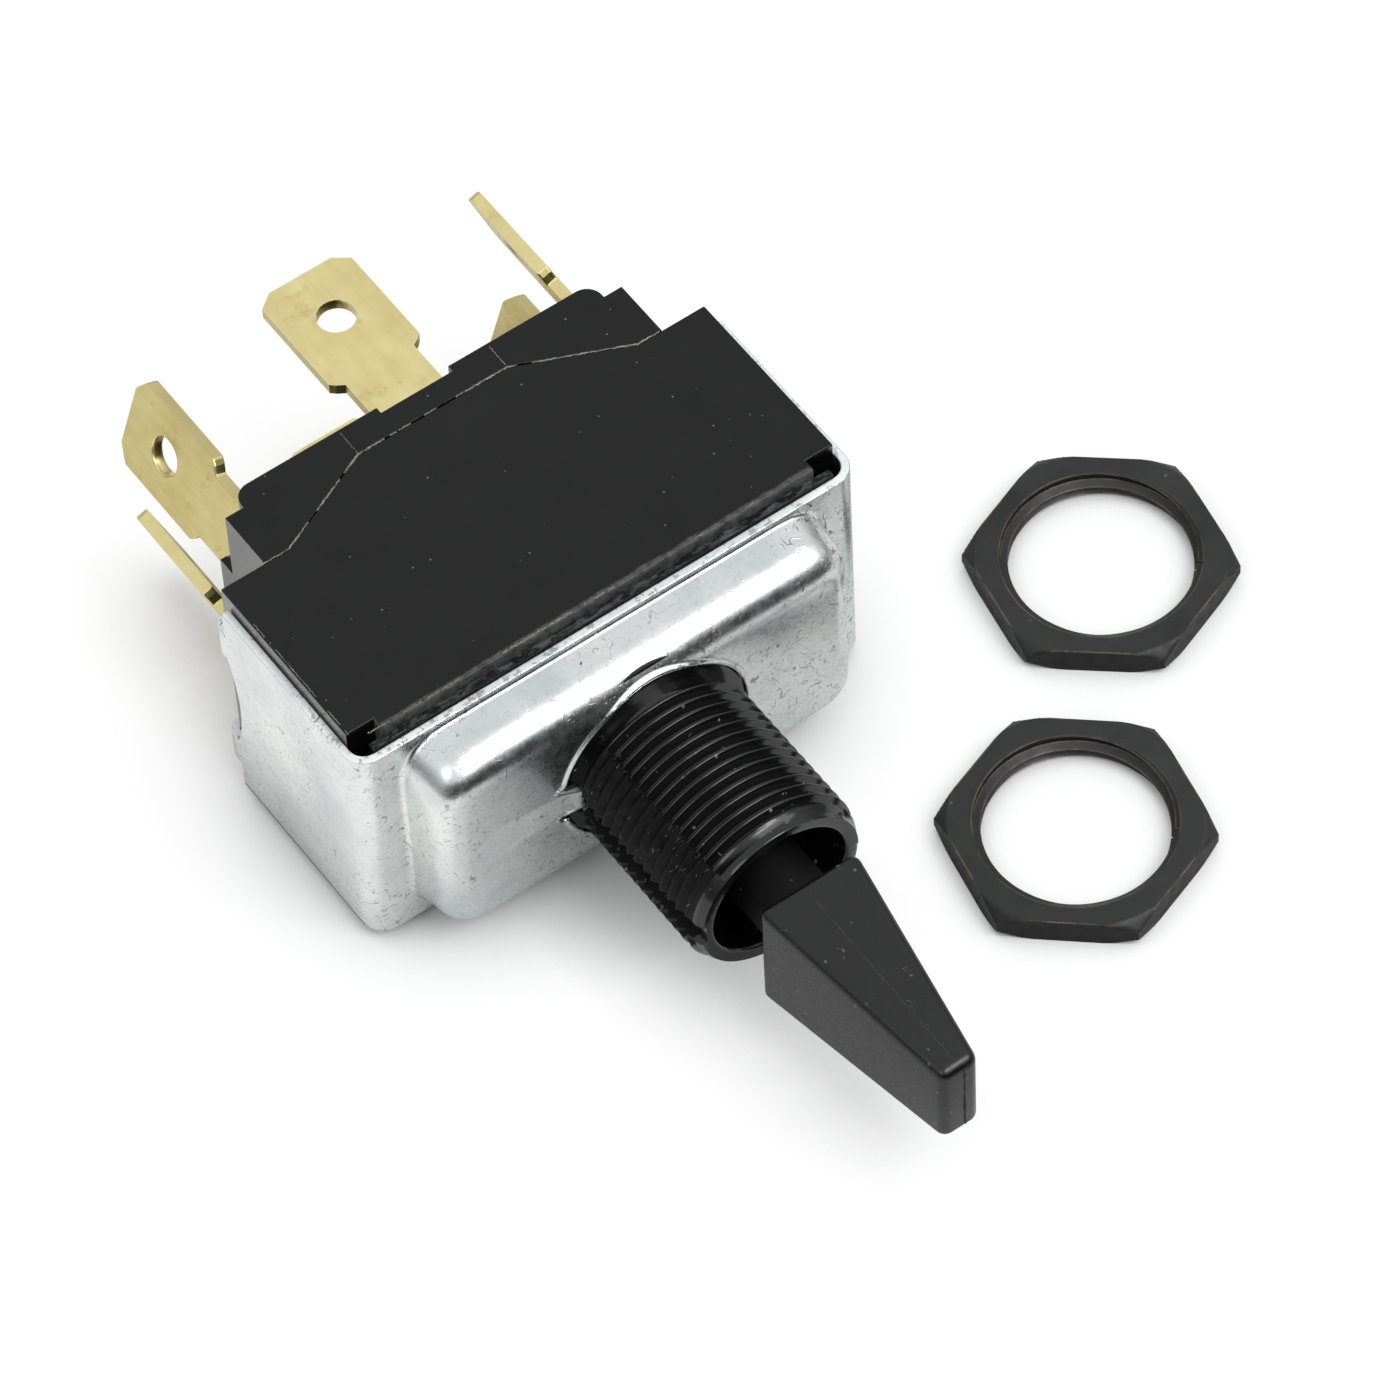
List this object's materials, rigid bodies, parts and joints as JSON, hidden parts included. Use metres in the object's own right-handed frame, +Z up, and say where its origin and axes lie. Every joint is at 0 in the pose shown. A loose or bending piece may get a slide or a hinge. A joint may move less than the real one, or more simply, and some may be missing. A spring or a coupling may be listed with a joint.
{
  "type": "panel toggle switch",
  "caption": "Heavy-duty panel toggle switch with a paddle lever, threaded bushing, folded steel bracket, blade terminals and hexagonal panel nuts.",
  "frame": {"origin": "centre of the bushing's seat, in the plane of the bracket's raised front face", "axes": "-Y along the bushing and lever, +Y along the terminals, +X along the long side of the housing, +Z up with the switch lying on its wide side"},
  "size_m": [0.0572, 0.0643, 0.0188],
  "materials": {
    "zinc": "bright zinc plating, scuffed",
    "phenolic": "moulded thermoset, dull",
    "fibre": "vulcanised fibre sheet",
    "black_nylon": "moulded nylon, satin to glossy",
    "natural_nylon": "moulded nylon, natural",
    "steel": "plain steel",
    "copper": "copper strip",
    "silver": "silver alloy, satin",
    "brass": "stamped brass strip, satin",
    "black_oxide": "black finish on steel"
  },
  "bodies": {
    "base": {"bracket": "zinc", "housing": "phenolic", "terminal_board": "phenolic", "insulator": "fibre", "bushing": "black_nylon", "pivot_pin": "steel", "pin_retainer": "steel", "terminal_left_upper": "brass", "terminal_left_lower": "brass", "terminal_centre_upper": "brass", "terminal_centre_lower": "brass", "terminal_right_upper": "brass", "terminal_right_lower": "brass", "fixed_contacts": "silver", "mounting_nut_1": "black_oxide", "mounting_nut_2": "black_oxide"},
    "lever": {"lever": "black_nylon", "plunger_carrier": "natural_nylon", "plunger_spring_upper": "steel", "plunger_spring_lower": "steel"},
    "plunger_upper": {"plunger_upper": "natural_nylon"},
    "plunger_lower": {"plunger_lower": "natural_nylon"},
    "rocker_upper": {"rocker_upper": "copper", "rocker_contacts_upper": "silver"},
    "rocker_lower": {"rocker_lower": "copper", "rocker_contacts_lower": "silver"}
  },
  "joints": [
    {"name": "lever_rock", "type": "hinge", "parent": "base", "child": "lever", "pos_m": [0, -0.005, 0], "axis": [0, 0, 1], "range_deg": [-13, 13]},
    {"name": "plunger_upper_slide", "type": "slide", "parent": "lever", "child": "plunger_upper", "axis": [0, -1, 0], "range_m": [0, 0.00045], "deforming": ["plunger_spring_upper"]},
    {"name": "plunger_lower_slide", "type": "slide", "parent": "lever", "child": "plunger_lower", "axis": [0, -1, 0], "range_m": [0, 0.00045], "deforming": ["plunger_spring_lower"]},
    {"name": "rocker_upper_tilt", "type": "hinge", "parent": "base", "child": "rocker_upper", "pos_m": [0, 0.0149, 0.00421], "axis": [0, 0, 1], "range_deg": [-6.5, 6.5]},
    {"name": "rocker_lower_tilt", "type": "hinge", "parent": "base", "child": "rocker_lower", "pos_m": [0, 0.0149, -0.00421], "axis": [0, 0, 1], "range_deg": [-6.5, 6.5]}
  ],
  "couplings": [
    {"joint": "rocker_upper_tilt", "follows": "lever_rock", "ratio": -0.5},
    {"joint": "rocker_lower_tilt", "follows": "lever_rock", "ratio": -0.5}
  ]
}
